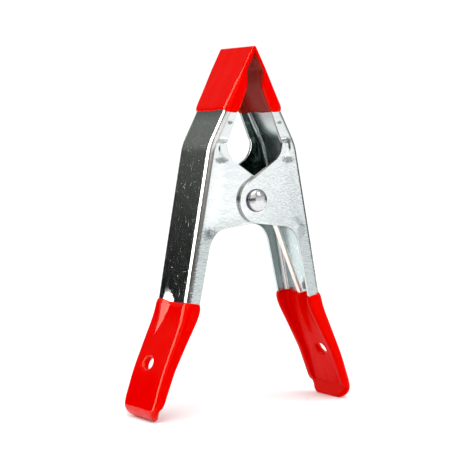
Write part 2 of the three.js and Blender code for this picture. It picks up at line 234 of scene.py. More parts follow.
class Row:
    """Everything about the channel's section at each distance along the web."""

    def __init__(self, distance):
        self.root = web.at(distance)
        self.inward = web.inward(distance)
        self.tip = edge.at(np.interp(distance, station_web, station_edge))
        self.depth = np.linalg.norm(self.root - self.tip, axis=-1)
        height = self.root[..., 1]
        self.full = smooth_step(-height, -TIP_RUN_OUT[0], -TIP_RUN_OUT[1])
        self.steel = TIP_STEEL + (STEEL - TIP_STEEL) * self.full
        bend = TIP_BEND_RADIUS + (BEND_RADIUS - TIP_BEND_RADIUS) * self.full
        self.bend = np.minimum(bend, self.depth * 0.95)
        self.filled = smooth_step(-height, -FOOT_FILL[0], -FOOT_FILL[1])
        above = smooth_step(-height, -UPPER_JOGGLE[0], -UPPER_JOGGLE[1])
        below = smooth_step(height, LOWER_JOGGLE[1], LOWER_JOGGLE[0])
        self.joggle = JOGGLE * above * below
        from_end = np.clip(1 - (web.length - distance) / FOOT_NARROWING, 0, 1)
        narrowing = 1 - np.sqrt(1 - from_end**2)
        self.half_width = HALF_WIDTH + (FOOT_HALF_WIDTH - HALF_WIDTH) * narrowing

    def place(self, depth, out):
        """The point at a depth below the web's outer face. It leaves the web at a right angle and
        arrives at the free edge of the flange."""
        share = np.clip(depth / self.depth, 0, 1)[..., None]
        elbow = self.root + self.inward * self.depth[..., None] / 2
        side = (1 - share)**2 * self.root + 2 * share * (1 - share) * elbow + share**2 * self.tip
        beyond = (self.tip - elbow) / np.linalg.norm(self.tip - elbow, axis=-1, keepdims=True)
        side = side + beyond * np.maximum(depth - self.depth, 0)[..., None]
        side = side + self.inward * np.minimum(depth, 0)[..., None]
        return np.stack([side[..., 0], out, side[..., 1]], -1)


# ---- Outline of the section

OUTER, INNER = "outer", "inner"
WEB_STEPS, BEND_STEPS, RUN_STEPS, FLAT_STEPS, CORNER_STEPS = 18, 8, 6, 9, 4
FACE = (
    [("web", i / WEB_STEPS) for i in range(WEB_STEPS)]
    + [("bend", i / BEND_STEPS) for i in range(BEND_STEPS)]
    + [("run", i / RUN_STEPS) for i in range(RUN_STEPS)]
    + [("flat", i / FLAT_STEPS) for i in range(FLAT_STEPS)]
    + [("corner", i / CORNER_STEPS) for i in range(CORNER_STEPS + 1)]
)
HALF_OUTLINE = [(OUTER, *part) for part in FACE] + [(INNER, *part) for part in reversed(FACE)]


def pressed_rib(height, across):
    """How far the web stands out at the pressed rib."""
    rise = np.clip((height - RIB_SHOULDER) / (RIB_TOP - RIB_SHOULDER), 0, 1)
    spread = np.clip((height - RIB_FOOT) / (RIB_SHOULDER - RIB_FOOT), 0, 1)
    width = RIB_WIDTH * (1 - rise)**RIB_TAPER * spread
    slope = np.clip(RIB_CREST + width - across, 0, width)
    start, end = RIB_STEEP_SIDE
    return RIB_SLOPE * slope * smooth_step(across, RIB_CREST + start, RIB_CREST + end)


def leg_ridge(height, across):
    """How far the vinyl stands up over the end of the spring's leg."""
    (top, start), (bottom, end) = LEG_RIDGE
    share = (top - height) / (top - bottom)
    centre = start + (end - start) * share
    tall = LEG_RIDGE_HEIGHT * np.sqrt(np.clip(1 - share, 0, 1))
    return tall * np.exp(-((across - centre) / LEG_RIDGE_WIDTH)**2)


def outline_point(row, skin, rounding, side, face, part, share, dipped):
    """Depth below the web, and distance from the middle, of one point of the outline. The skin is
    how far the outline is grown, and a dipped outline is the vinyl's."""
    end = row.depth + skin
    inner_inset = row.steel + skin
    if dipped:
        inner_inset = inner_inset + (end - FILL_EDGE - inner_inset) * row.filled
    corner = np.minimum(rounding, 0.45 * (end - inner_inset))  # a little of the edge stays flat
    inset = -skin if face == OUTER else inner_inset
    rounder = INNER_FILL if face == INNER else VINYL_ROUND if dipped else 0.0
    bend = np.maximum(row.bend - inset, SMALLEST_RADIUS) + rounder * row.full
    radius = np.minimum(bend, 0.5 * (end - corner - inset))
    centre_depth = inset + radius
    centre_out = row.half_width - inset - radius
    face_out = row.half_width - inset
    joggle = row.joggle * -side
    run = np.minimum(JOGGLE_RUN, 0.5 * np.maximum(end - corner - centre_depth, 0))
    if part == "web":
        out = share * centre_out
        depth = inset - pressed_rib(row.root[..., 1], side * out)
        if dipped and face == INNER:
            depth = depth + leg_ridge(row.root[..., 1], side * out)
        return depth, out
    if part == "bend":
        angle = share * math.pi / 2
        return centre_depth - radius * math.cos(angle), centre_out + radius * math.sin(angle)
    if part == "run":
        return centre_depth + share * run, face_out + joggle * smooth_step(share, 0, 1)
    if part == "flat":
        start = centre_depth + run
        return start + share * np.maximum(end - corner - start, 0), face_out + joggle
    angle = share * math.pi / 2
    turned_in = corner * (1 - math.cos(angle)) * (-1 if face == OUTER else 1)
    return end - corner + corner * math.sin(angle), face_out + joggle + turned_in


def full_outline():
    """(side, face, part, share) once round the sheet: far half out, near half back."""
    far = [(1, *point) for point in HALF_OUTLINE]
    near = [(-1, *point) for point in HALF_OUTLINE]
    return far + near[-2:0:-1]


RING = full_outline()


def ring_grid(distances, skins, rounding, shift=None):
    """Points of shape (rows, ring, 3), with the distance along the web and across it of each. A
    dipped skin has a shift, which moves its dip line along the web."""
    dipped = shift is not None
    points, along, across = [], [], []
    for place in RING:
        side = place[0]
        moved = distances
        if dipped:
            _, out = outline_point(Row(distances), skins, rounding, *place, dipped)
            moved = np.clip(distances + shift(side * out), 0, web.length)
        row = Row(moved)
        depth, out = outline_point(row, skins, rounding, *place, dipped)
        points.append(row.place(depth, side * out))
        along.append(moved)
        across.append(side * out)
    return np.stack(points, 1), np.stack(along, 1), np.stack(across, 1)


# ---- Meshes

class Shell:
    """Vertices and faces of one closed body."""

    def __init__(self):
        self.points = []
        self.faces = []

    def add(self, points):
        start = len(self.points)
        self.points.extend(np.asarray(points).reshape(-1, 3))
        return np.arange(start, len(self.points))

    def strip(self, a, b):
        """Quads between two closed loops of the same length."""
        for i in range(len(a)):
            j = (i + 1) % len(a)
            self.faces.append((a[i], a[j], b[j], b[i]))

    def cap(self, ring):
        """Closes a section with quads from its outer face to its inner face."""
        count = len(ring)
        half = count // 2
        for i in range(half // 2):
            self.faces.append((ring[i], ring[i + 1], ring[half - i - 1], ring[half - i]))
            self.faces.append((ring[-i], ring[-i - 1], ring[half + i + 1 - count], ring[half + i - count]))

    def object(self, name, material, turned):
        mesh = bpy.data.meshes.new(name)
        points = np.array(self.points) * MM
        if turned:
            points = points * [-1, -1, 1]
        mesh.from_pydata(points.tolist(), [], self.faces)
        return finished(mesh, name, material)


def finished(mesh, name, material):
    """An object with this mesh, welded, smooth and facing outwards."""
    bm = bmesh.new()
    bm.from_mesh(mesh)
    bmesh.ops.remove_doubles(bm, verts=bm.verts, dist=WELD * MM)
    bmesh.ops.recalc_face_normals(bm, faces=bm.faces)
    bm.to_mesh(mesh)
    bm.free()
    mesh.polygons.foreach_set("use_smooth", [True] * len(mesh.polygons))
    mesh.materials.append(material)
    obj = bpy.data.objects.new(name, mesh)
    scene.collection.objects.link(obj)
    return obj


def outline_index(side, face, part, share):
    return RING.index((side, face, part, share))


def web_columns(face, reach):
    """Ring positions across one face of the web, from near to far, up to a distance from the middle."""
    half = HALF_WIDTH - BEND_RADIUS
    steps = [i for i in range(WEB_STEPS) if i / WEB_STEPS * half <= reach]
    far = [outline_index(1, face, "web", i / WEB_STEPS) for i in steps]
    near = [outline_index(-1, face, "web", i / WEB_STEPS) for i in steps[1:]]
    return near[::-1] + far


def channel(distances, skins, rounding, hole=None, shift=None):
    """A closed body around the sheet. hole = (growth of the hanging hole, rounding of its rim)."""
    shell = Shell()
    points, along, across = ring_grid(distances, skins, rounding, shift)
    grid = np.array([shell.add(ring) for ring in points])
    skipped = set()
    if hole:
        skipped = cut_hole(shell, grid, along, across, skins, *hole)
    for r in range(len(grid) - 1):
        for i in range(len(RING)):
            j = (i + 1) % len(RING)
            if (r, i) not in skipped:
                shell.faces.append((grid[r, i], grid[r, j], grid[r + 1, j], grid[r + 1, i]))
    shell.cap(grid[0])
    shell.cap(grid[-1])
    return shell


def cut_hole(shell, grid, along, across, skins, growth, rim):
    """Opens the web at the hanging hole, with a rounded rim on both faces and a wall between them."""
    middle = web.distance_at_height(HOLE_HEIGHT)
    a, b = HOLE_HALF_HEIGHT + growth, HOLE_HALF_WIDTH + growth
    reach = b + HOLE_MARGIN - HOLE_OFFSET
    outer, inner = web_columns(OUTER, reach), web_columns(INNER, reach)
    skin = skins.max()
    near_hole = abs(along[:, 0] - middle) < a + HOLE_MARGIN
    rows = np.flatnonzero(near_hole & (skins == skin))
    first, last = rows[0], rows[-1]
    skipped = set()
    for columns in (outer, inner):
        for left, right in zip(columns, columns[1:]):
            quad_column = left if (left + 1) % len(RING) == right else right
            skipped.update((r, quad_column) for r in range(first, last))

    def boundary(columns):
        """Once round the part of one face that is remade."""
        walk = [(first, c) for c in columns]
        walk += [(r, columns[-1]) for r in range(first + 1, last)]
        walk += [(last, c) for c in reversed(columns)]
        walk += [(r, columns[0]) for r in range(last - 1, first, -1)]
        return walk

    walks = {OUTER: boundary(outer), INNER: boundary(inner)}
    spots = {f: np.array([(along[r, c], across[r, c]) for r, c in walk]) for f, walk in walks.items()}
    angles = np.arctan2((spots[OUTER][:, 1] - HOLE_OFFSET) / b, (spots[OUTER][:, 0] - middle) / a)
    thickness = STEEL + 2 * skin

    def oval(extra):
        return np.stack([
            middle + (a + extra) * np.cos(angles), HOLE_OFFSET + (b + extra) * np.sin(angles)], 1)

    def placed(spots_2d, depth):
        row = Row(spots_2d[:, 0])
        return shell.add(row.place(np.full(len(angles), depth), spots_2d[:, 1]))

    flare = rim * HOLE_FLARE
    rim_angles = np.linspace(0, math.pi / 2, 6)
    loops = [np.array([grid[r, c] for r, c in walks[OUTER]])]
    for share in (0.25, 0.5, 0.75):
        loops.append(placed(spots[OUTER] * (1 - share) + oval(flare) * share, -skin))
    for angle in rim_angles:
        sunk = rim * (1 - math.cos(angle))
        loops.append(placed(oval(flare * (1 - math.sin(angle))), sunk - skin))
    for angle in rim_angles[::-1]:
        sunk = rim * (1 - math.cos(angle))
        loops.append(placed(oval(flare * (1 - math.sin(angle))), thickness - sunk - skin))
    for share in (0.75, 0.5, 0.25):
        loops.append(placed(spots[INNER] * (1 - share) + oval(flare) * share, thickness - skin))
    loops.append(np.array([grid[r, c] for r, c in walks[INNER]]))
    for one, other in zip(loops, loops[1:]):
        shell.strip(one, other)
    return skipped


def end_cap(distance, towards, full, rounding):
    """Distances and skins of the rings that round off a dipped end."""
    angles = np.linspace(0, math.pi / 2, END_RINGS)
    distances = distance - towards * rounding * (1 - np.sin(angles))
    return distances, full - rounding * (1 - np.cos(angles))


def lathe(name, profile, material, segments=96):
    """A solid turned about the pivot axis. The profile is (radius, y), from axis to axis."""
    shell = Shell()
    angles = np.linspace(0, 2 * math.pi, segments, endpoint=False)
    loops = []
    for radius, y in profile[1:-1]:
        loops.append(shell.add([
            (radius * math.cos(t), y, PIVOT_HEIGHT + radius * math.sin(t)) for t in angles]))
    for one, other in zip(loops, loops[1:]):
        shell.strip(one, other)
    for loop, (_, y) in ((loops[0], profile[0]), (loops[-1], profile[-1])):
        pole = shell.add([(0, y, PIVOT_HEIGHT)])[0]
        for i in range(segments):
            shell.faces.append((pole, loop[i], loop[(i + 1) % segments]))
    return shell.object(name, material, turned=False)


# ---- Pieces

def cut_with(obj, tool):
    """Boolean difference, applied."""
    cut = obj.modifiers.new("cut", "BOOLEAN")
    cut.operation = "DIFFERENCE"
    cut.solver = "MANIFOLD"
    cut.object = tool
    apply_modifiers(obj)
    bpy.data.objects.remove(tool)


def apply_modifiers(obj):
    bpy.context.view_layer.update()
    evaluated = obj.evaluated_get(bpy.context.evaluated_depsgraph_get())
    mesh = bpy.data.meshes.new_from_object(evaluated)
    obj.modifiers.clear()
    obj.data = mesh


def settle_shading(obj, sharp_degrees=40):
    """Keeps flat faces flat: normals weighted by face area, with real edges left sharp."""
    obj.data.set_sharp_from_angle(angle=math.radians(sharp_degrees))
    weighted = obj.modifiers.new("weighted normals", "WEIGHTED_NORMAL")
    weighted.keep_sharp = True
    apply_modifiers(obj)


def make_lever(name, material, turned):
    start = web.distance_at_height(STEEL_TIP_HEIGHT)
    distances = np.linspace(start, web.length - STEEL_FOOT_GAP, LEVER_RINGS)
    shell = channel(distances, np.zeros(LEVER_RINGS), STEEL_EDGE, hole=(VINYL, STEEL_HOLE_RIM))
    lever = shell.object(name, material, turned)
    reach = 4 * HALF_WIDTH
    drill = [(0, -reach), (RIVET_HOLE_RADIUS, -reach), (RIVET_HOLE_RADIUS, reach), (0, reach)]
    cut_with(lever, lathe("drill", drill, material))
    settle_shading(lever)
    return lever


def dip_wave(fading, waves):
    """How far the dip line strays along the web, at each place across it."""
    def shift(across):
        strays = [size * np.sin(across * 2 * math.pi / length + phase) for size, length, phase in waves]
        return sum(strays) * fading
    return shift


def make_handle_sleeve(name, material, turned):
    dip = web.distance_at_height(HANDLE_DIP_HEIGHT)
    thinning = np.linspace(0, 1, DIP_RINGS)
    dip_distances = dip + DIP_RUN * thinning**2
    dip_skins = DIP_EDGE + (VINYL - DIP_EDGE) * smooth_step(thinning, 0, 1)
    cap_distances, cap_skins = end_cap(web.length, 1, VINYL, FOOT_END)
    body = np.linspace(dip + DIP_RUN + DIP_GAP, cap_distances[0] - RING_GAP, HANDLE_RINGS)
    distances = np.concatenate([[dip], dip_distances, body, cap_distances])
    skins = np.concatenate([[BURIED], dip_skins, np.full(HANDLE_RINGS, VINYL), cap_skins])
    fading = 1 - smooth_step(distances, dip, dip + DIP_FADE)
    wave = dip_wave(fading, HANDLE_DIP_WAVES)
    shell = channel(distances, skins, VINYL_EDGE, hole=(0, HOLE_RIM), shift=wave)
    sleeve = shell.object(name, material, turned)
    settle_shading(sleeve, sharp_degrees=60)
    return sleeve


def make_jaw_sleeve(name, material, turned):
    dip = web.distance_at_height(JAW_DIP_HEIGHT)
    thinning = np.linspace(1, 0, DIP_RINGS)
    dip_distances = dip - DIP_RUN * thinning**2
    dip_skins = DIP_EDGE + (VINYL - DIP_EDGE) * smooth_step(thinning, 0, 1)
    cap_distances, cap_skins = end_cap(0, -1, TIP_VINYL, TIP_END)
    body = np.linspace(cap_distances[0] + RING_GAP, dip - DIP_RUN - DIP_GAP, JAW_RINGS)
    distances = np.concatenate([cap_distances[::-1], body, dip_distances, [dip]])
    full = smooth_step(-web.at(body)[:, 1], -TIP_RUN_OUT[0], -TIP_RUN_OUT[1])
    body_skins = TIP_VINYL + (VINYL - TIP_VINYL) * full
    skins = np.concatenate([cap_skins[::-1], body_skins, dip_skins, [BURIED]])
    fading = smooth_step(distances, dip - DIP_FADE, dip)
    wave = dip_wave(fading, JAW_DIP_WAVES)
    shell = channel(distances, skins, VINYL_EDGE, shift=wave)
    sleeve = shell.object(name, material, turned)
    cut_with(sleeve, partner_side(material, turned))
    settle_shading(sleeve, sharp_degrees=60)
    return sleeve


def partner_side(material, turned, reach=40.0, height=90):
    """A block that fills the partner's side of the jaws, to cut the land where they meet."""
    shell = Shell()
    loops = []
    for x in (JAW_LAND - reach, JAW_LAND):
        loops.append(shell.add([
            (x, -reach, height - reach), (x, reach, height - reach),
            (x, reach, height + reach), (x, -reach, height + reach)]))
    shell.strip(*loops)
    for loop in loops:
        shell.faces.append(tuple(loop))
    return shell.object("partner_side", material, turned)


def make_rivet(name, material):
    seat = HALF_WIDTH + JOGGLE + RIVET_SEAT_GAP

    def head(sign):
        """A dome, a rounded rim under it and the shank, as (radius, y)."""
        profile = []
        for angle in np.linspace(0, math.pi / 2, 20):
            rise = RIVET_RIM_HEIGHT + (RIVET_HEAD_HEIGHT - RIVET_RIM_HEIGHT) * math.cos(angle)
            profile.append((RIVET_HEAD_RADIUS * math.sin(angle), sign * (seat + rise)))
        for angle in np.linspace(0, math.pi / 2, 6)[1:]:
            rim = RIVET_HEAD_RADIUS - RIVET_RIM_INSET * (1 - math.cos(angle))
            rise = RIVET_RIM_HEIGHT - RIVET_RIM_HEIGHT * math.sin(angle)
            profile.append((rim, sign * (seat + rise)))
        return profile + [(RIVET_RADIUS, sign * seat)]

    return lathe(name, head(-1) + head(1)[::-1], material)


def make_wire(name, path, material):
    """A round wire along a path of points."""
    curve = bpy.data.curves.new(name, "CURVE")
    curve.dimensions = "3D"
    curve.bevel_depth = WIRE_RADIUS * MM
    curve.bevel_resolution = 5
    curve.use_fill_caps = True
    line = curve.splines.new("POLY")
    line.points.add(len(path) - 1)
    for point, place in zip(line.points, path):
        point.co = (*place * MM, 1)
    wire = bpy.data.objects.new(name + "_path", curve)
    scene.collection.objects.link(wire)
    bpy.context.view_layer.update()
    mesh = bpy.data.meshes.new_from_object(wire)
    bpy.data.objects.remove(wire)
    return finished(mesh, name, material)


def coil_path():
    """A helix on the pivot axis. It starts on the right and ends on the left, where the legs leave."""
    end = math.pi - LEG_START_ANGLE + 2 * math.pi * COIL_WHOLE_TURNS
    angles = np.linspace(LEG_START_ANGLE, end, POINTS_PER_TURN * COIL_WHOLE_TURNS)
    along = np.linspace(-COIL_HALF_LENGTH, COIL_HALF_LENGTH, len(angles))
    return np.stack([
        COIL_RADIUS * np.cos(angles), along, PIVOT_HEIGHT + COIL_RADIUS * np.sin(angles)], 1)


def leg_path(sign, count=24):
    """From the end of the coil to the handle. The left leg, with sign -1, is the right one turned
    half a turn about the vertical axis."""
    nodes = np.array([coil_path()[0], LEG_KNEE, LEG_END, LEG_TAIL])
    share = np.linspace(0, 3, count)
    line = np.stack([np.interp(share, range(4), nodes[:, i]) for i in range(3)], 1)
    return line * [sign, sign, 1]


# ---- Materials

class Recipe:
    """A node material being written. Textures are placed in millimetres."""

    def __init__(self, name, **constants):
        self.material = bpy.data.materials.new(name)
        self.material.use_nodes = True
        self.tree = self.material.node_tree
        self.shader = self.tree.nodes["Principled BSDF"]
        for socket, value in constants.items():
            self.shader.inputs[socket].default_value = value
        place = self.add("ShaderNodeTexCoord").outputs["Object"]
        self.place = self.add("ShaderNodeVectorMath", {0: place, "Scale": 1 / MM}, operation="SCALE")

    def add(self, kind, inputs=None, output=None, **settings):
        node = self.tree.nodes.new(kind)
        for key, value in settings.items():
            setattr(node, key, value)
        for key, value in (inputs or {}).items():
            self.feed(node.inputs[key], value)
        if output is None and inputs is None:
            return node
        return node.outputs[output or 0]

    def feed(self, socket, value):
        if isinstance(value, bpy.types.NodeSocket):
            self.tree.links.new(value, socket)
        else:
            socket.default_value = value

    def noise(self, stretch, scale, detail=3, roughness=0.5, turn=(0, 0, 0)):
        """Noise with this many features per mm, along axes stretched and turned."""
        rotation = tuple(math.radians(angle) for angle in turn)
        placed = self.add("ShaderNodeMapping", {
            "Vector": self.place, "Rotation": rotation, "Scale": stretch})
        return self.add("ShaderNodeTexNoise", {
            "Vector": placed, "Scale": scale, "Detail": detail, "Roughness": roughness}, "Fac")

    def math(self, operation, a, b=0.0):
        return self.add("ShaderNodeMath", {0: a, 1: b}, operation=operation)

    def product(self, first, *others):
        for other in others:
            first = self.math("MULTIPLY", first, other)
        return first

    def remap(self, value, low, high, to_low=0.0, to_high=1.0):
        return self.add("ShaderNodeMapRange", {
            "Value": value, "From Min": low, "From Max": high, "To Min": to_low, "To Max": to_high})

    def mix(self, factor, low, high):
        return self.add("ShaderNodeMix", {"Factor": factor, 2: low, 3: high})

    def colours(self, factor, low, high):
        node = self.tree.nodes.new("ShaderNodeMix")
        node.data_type = "RGBA"
        self.feed(node.inputs["Factor"], factor)
        for name, value in (("A", low), ("B", high)):
            socket = next(s for s in node.inputs if s.name == name and s.type == "RGBA")
            self.feed(socket, value if isinstance(value, bpy.types.NodeSocket) else (*value, 1))
        return next(s for s in node.outputs if s.type == "RGBA")

    def bump(self, height, distance, normal=None):
        inputs = {"Height": height, "Distance": distance * MM, "Strength": 1.0}
        if normal is not None:
            inputs["Normal"] = normal
        return self.add("ShaderNodeBump", inputs, "Normal")

    def parts(self, vector):
        node = self.tree.nodes.new("ShaderNodeSeparateXYZ")
        self.tree.links.new(vector, node.inputs[0])
        return node.outputs

    def own_normal(self):
        return self.parts(self.add("ShaderNodeTexCoord").outputs["Normal"])

    def flange(self):
        """1 on faces square to the pivot axis, 0 on faces along it."""
        return self.remap(self.math("ABSOLUTE", self.own_normal()["Y"]), 0.7, 0.97)

    def inside(self):
        """1 on faces that look into the channel, 0 on those that look out of it."""
        normal, place = self.own_normal(), self.parts(self.place)
        along_x = self.product(normal["X"], place["X"])
        along_y = self.product(normal["Y"], place["Y"])
        return self.remap(self.math("ADD", along_x, along_y), 0.5, -1.5)

    def spots(self, places, ragged):
        """1 inside ellipses in the side view, the same on both levers: (x, z, half width, half
        height). Noise makes their edges ragged."""
        place = self.parts(self.place)
        across = self.math("ABSOLUTE", place["X"])
        total = 0.0
        for x, z, wide, tall in places:
            u = self.math("DIVIDE", self.math("SUBTRACT", across, x), wide)
            v = self.math("DIVIDE", self.math("SUBTRACT", place["Z"], z), tall)
            far = self.math("ADD", self.product(u, u), self.product(v, v))
            far = self.math("ADD", far, self.product(self.math("SUBTRACT", ragged, 0.5), 3.2))
            total = self.math("MAXIMUM", total, self.remap(far, 1.3, 0.4))
        return total


# Painted shade at the joggles and dents of the flanges: x, z, half width, half height, mm.
JOGGLE_SHADE_SPOTS = [
    (10.4, 74.2, 1.9, 0.7), (10.7, 69.0, 2.3, 0.9), (15.4, 49.2, 1.6, 2.0), (8.1, 79.2, 0.85, 0.5),
]


def zinc_material():
    """Bright zinc over drawn sheet: fine grain on the web, soft ripples on the flanges, painted blue-green
    shade inside the channel and painted shade at the flanges' joggles and dents."""
    recipe = Recipe("zinc_plate", Metallic=1.0)
    place = recipe.parts(recipe.place)
    height = place["Z"]
    flange, inside = recipe.flange(), recipe.inside()
    off_flange = recipe.math("SUBTRACT", 1.0, flange)
    outside = recipe.math("SUBTRACT", 1.0, inside)
    handle = recipe.remap(height, 55, 47)

    streaks = recipe.noise((1, 1, 0.05), 1.1, detail=4, roughness=0.65)
    grain = recipe.noise((1, 1, 0.8), 3.6, detail=3, roughness=0.7)
    specks = recipe.noise((1, 1, 0.5), 3.4, detail=2)
    scratches = recipe.noise((2.5, 2.5, 0.12), 1.1, detail=2, turn=(18, 25, 0))
    clouds = recipe.noise((1, 1, 0.5), 0.12, detail=3)
    ripples = recipe.noise((1, 1, 1.3), 0.28, detail=2, roughness=0.45)
    wrinkles = recipe.noise((0.75, 1, 1.3), 1.5, detail=3, roughness=0.55, turn=(0, 30, 0))
    ragged = recipe.noise((1, 1, 1), 1.5, detail=4, roughness=0.65)
    bright = recipe.math("MAXIMUM", recipe.remap(scratches, 0.61, 0.71), recipe.remap(specks, 0.61, 0.76))
    # The press hammered the flanges most on the handles and round the ears.
    hammered = recipe.math("MAXIMUM", handle, recipe.remap(place["X"], -3, 9, 0.12, 0.75))
    hammered = recipe.product(hammered, recipe.remap(height, 78, 62, 0.3, 1))

    tone = recipe.colours(clouds, (0.76, 0.79, 0.79), (0.88, 0.90, 0.90))
    drawn = recipe.product(recipe.remap(streaks, 0.35, 0.65), 0.30, off_flange)
    tone = recipe.colours(drawn, tone, (0.42, 0.44, 0.43))
    # Darker towards the handles.
    darker_downward = recipe.product(recipe.remap(height, 62, 30), 0.45)
    tone = recipe.colours(darker_downward, tone, (0.50, 0.54, 0.54))
    # Painted shade inside the channel, blue-green, darkest on the inner faces of the flanges.
    channel_shade = recipe.colours(flange, (0.50, 0.58, 0.58), (0.055, 0.085, 0.075))
    tone = recipe.colours(inside, tone, channel_shade)
    dull = recipe.product(recipe.remap(wrinkles, 0.38, 0.62), hammered, flange, 0.5)
    tone = recipe.colours(dull, tone, (0.34, 0.385, 0.39))
    # Painted shade: dark spots at the joggles and dents of the flanges.
    joggle_shade = recipe.product(recipe.spots(JOGGLE_SHADE_SPOTS, ragged), flange, 0.8)
    tone = recipe.colours(joggle_shade, tone, (0.16, 0.19, 0.19))
    # Painted shade on the outer faces of the far flanges.
    far_flange_shade = recipe.product(recipe.remap(place["Y"], 4, 8, 0, 0.55), outside, flange)
    tone = recipe.colours(far_flange_shade, tone, (0.45, 0.48, 0.48))
    # Painted shade: greyer on the lower half of the ear on the right and on the handles' flanges.
    low_ear_shade = recipe.product(recipe.remap(height, 66, 52), recipe.remap(place["X"], -4, 4, 0, 0.36))
    grey = recipe.math("MAXIMUM", low_ear_shade, recipe.product(handle, 0.75))
    tone = recipe.colours(recipe.product(grey, flange), tone, (0.40, 0.44, 0.445))
    shaded = recipe.product(recipe.remap(height, 82, 47, 0.12, 0.55), off_flange, outside)
    tone = recipe.colours(shaded, tone, (0.14, 0.145, 0.14))
    tone = recipe.colours(recipe.product(bright, off_flange), tone, (0.97, 0.97, 0.95))
    # Painted shade on all but the flange faces within 9 to 11 mm of the middle: the ears' cut edges and
    # the web just under the jaws' vinyl.
    middle_edge_shade = recipe.product(recipe.remap(recipe.math("ABSOLUTE", place["X"]), 11, 9), off_flange)
    tone = recipe.colours(middle_edge_shade, tone, (0.35, 0.35, 0.35))
    recipe.feed(recipe.shader.inputs["Base Color"], tone)

    web_rough = recipe.remap(streaks, 0.3, 0.7, 0.10, 0.16)
    web_rough = recipe.math("ADD", web_rough, recipe.product(bright, 0.07))
    outside_rough = recipe.mix(flange, web_rough, 0.11)
    recipe.feed(recipe.shader.inputs["Roughness"], recipe.mix(inside, outside_rough, 0.24))

    web_relief = recipe.math("ADD", streaks, recipe.product(grain, 1.2))
    normal = recipe.bump(recipe.product(web_relief, off_flange), 0.009)
    dents = recipe.product(wrinkles, recipe.remap(hammered, 0, 1, 0.1, 0.75))
    flange_relief = recipe.math("ADD", recipe.product(ripples, 0.6), dents)
    normal = recipe.bump(recipe.product(flange_relief, flange), 0.115, normal)
    recipe.feed(recipe.shader.inputs["Normal"], normal)
    return recipe.material


def rivet_material():
    """Bright plate, with a dark band painted on each side as a reflection of the horizon and a line of
    painted shade where the rim meets the ear.
    """
    recipe = Recipe("rivet_plate", Metallic=1.0)
    wear = recipe.noise((1, 1, 1), 1.2, detail=4)
    place = recipe.parts(recipe.place)
    rise = recipe.math("SUBTRACT", place["Z"], PIVOT_HEIGHT)
    out_squared = recipe.math("ADD", recipe.product(rise, rise), recipe.product(place["X"], place["X"]))
    out = recipe.math("SQRT", out_squared)
    tone = recipe.colours(wear, (0.52, 0.53, 0.54), (0.72, 0.72, 0.73))
    # A painted reflection: a dark band on each side at mid height, as of the horizon.
    horizon_band_reflection = recipe.product(
        recipe.remap(recipe.math("ABSOLUTE", rise), 0.9, 0.4),
        recipe.remap(recipe.math("ABSOLUTE", place["X"]), 1.1, 2.0, 0, 0.75))
    tone = recipe.colours(horizon_band_reflection, tone, (0.22, 0.22, 0.23))
    # Painted shade: a dark ring where the rim meets the ear.
    tone = recipe.colours(recipe.remap(out, 2.72, 3.05), tone, (0.10, 0.10, 0.11))
    recipe.feed(recipe.shader.inputs["Base Color"], tone)
    recipe.feed(recipe.shader.inputs["Roughness"], recipe.remap(wear, 0.3, 0.7, 0.06, 0.12))
    recipe.feed(recipe.shader.inputs["Normal"], recipe.bump(wear, 0.05))
    return recipe.material


def spring_material():
    """Drawn wire, faintly warm."""
    recipe = Recipe("spring_wire", Metallic=1.0)
    drawn = recipe.noise((3, 3, 0.2), 1.5, detail=3)
    recipe.feed(recipe.shader.inputs["Base Color"],
                recipe.colours(drawn, (0.80, 0.74, 0.66), (0.97, 0.93, 0.88)))
    recipe.feed(recipe.shader.inputs["Roughness"], recipe.remap(drawn, 0.3, 0.7, 0.25, 0.4))
    recipe.feed(recipe.shader.inputs["Normal"], recipe.bump(drawn, 0.02))
    return recipe.material


def vinyl_material():
    """Glossy dipped PVC: a deep, even red with slow waves left by the dip; duller inside, where the jaws
    have painted shade.
    """
    recipe = Recipe("dipped_vinyl", IOR=1.33)
    recipe.shader.inputs["Specular Tint"].default_value = (1.0, 0.62, 0.36, 1)
    waves = recipe.noise((1, 1, 0.5), 0.16, detail=2)
    sags = recipe.noise((1, 1, 0.15), 0.20, detail=0)
    peel = recipe.noise((1, 1, 1), 1.1, detail=3)
    inside = recipe.inside()
    deep_red = (0.60, 0.0004, 0.0002)
    tone = recipe.colours(waves, deep_red, (0.68, 0.0010, 0.0004))
    # Painted shade inside the jaws, a darker brownish red.
    in_jaw = recipe.remap(recipe.parts(recipe.place)["Z"], 40, 70)
    jaw_inside_shade = recipe.colours(in_jaw, deep_red, (0.33, 0.028, 0.020))
    tone = recipe.colours(inside, tone, jaw_inside_shade)
    recipe.feed(recipe.shader.inputs["Base Color"], tone)
    quiet = recipe.math("MAXIMUM", inside, recipe.flange())
    recipe.feed(recipe.shader.inputs["Specular IOR Level"], recipe.remap(quiet, 0, 1, 0.5, 0.11))
    gloss = recipe.remap(peel, 0.3, 0.7, 0.05, 0.10)
    recipe.feed(recipe.shader.inputs["Roughness"], recipe.mix(inside, gloss, 0.3))
    normal = recipe.bump(waves, 0.25)
    normal = recipe.bump(sags, 0.30, normal)
    normal = recipe.bump(peel, 0.012, normal)
    recipe.feed(recipe.shader.inputs["Normal"], normal)
    return recipe.material


# ---- Studio, in metres

BLACK_LEVEL = 0.003  # makes the deepest shadows a little deeper


def make_floor(reach=3.0):
    """A pale table top that runs out of sight."""
    mesh = bpy.data.meshes.new("floor")
    corners = [(-reach, -reach, 0), (reach, -reach, 0), (reach, reach, 0), (-reach, reach, 0)]
    mesh.from_pydata(corners, [], [(0, 1, 2, 3)])
    recipe = Recipe("pale_floor", Roughness=0.9)
    paper = recipe.noise((1, 1, 1), 0.02, detail=2)
    recipe.feed(recipe.shader.inputs["Base Color"],
                recipe.colours(paper, (0.93, 0.93, 0.93), (0.95, 0.95, 0.95)))
    mesh.materials.append(recipe.material)
    floor = bpy.data.objects.new("floor", mesh)
    scene.collection.objects.link(floor)


